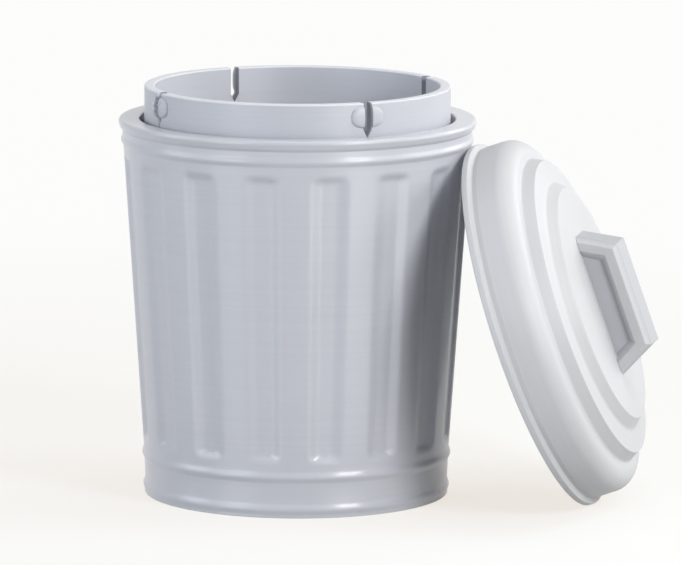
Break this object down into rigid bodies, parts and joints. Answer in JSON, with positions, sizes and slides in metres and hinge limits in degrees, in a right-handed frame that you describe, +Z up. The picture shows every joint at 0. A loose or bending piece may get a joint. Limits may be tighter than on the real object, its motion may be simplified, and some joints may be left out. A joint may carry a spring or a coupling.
{
  "type": "trash can",
  "caption": "Fluted tapered desktop trash can with a lift-out inner pail, split snap bumps on its collar, and a stepped round lid with a block handle that leans on the can.",
  "frame": {"origin": "centre of the can's flat base, on the surface it stands on", "axes": "+Z up along the can's axis; the lid leans on the can's +X side, in the XZ plane"},
  "size_m": [0.1525, 0.1058, 0.1157],
  "materials": {
    "can_plastic": "light cool grey printed plastic, fine layer lines, satin",
    "pail_plastic": "light cool grey printed plastic, fine layer lines, satin",
    "lid_plastic": "light cool grey printed plastic, fine layer lines, satin"
  },
  "bodies": {
    "can": {"outer_can": "can_plastic"},
    "pail": {"inner_pail": "pail_plastic"},
    "lid": {"lid_cover": "lid_plastic", "lid_handle": "lid_plastic"}
  },
  "joints": [
    {"name": "pail_lift", "type": "slide", "parent": "can", "child": "pail", "axis": [0, 0, 1], "range_m": [0, 0.13]},
    {"name": "lid_away", "type": "slide", "parent": "can", "child": "lid", "axis": [0.9409, 0, 0.3387], "range_m": [0, 0.06]}
  ]
}
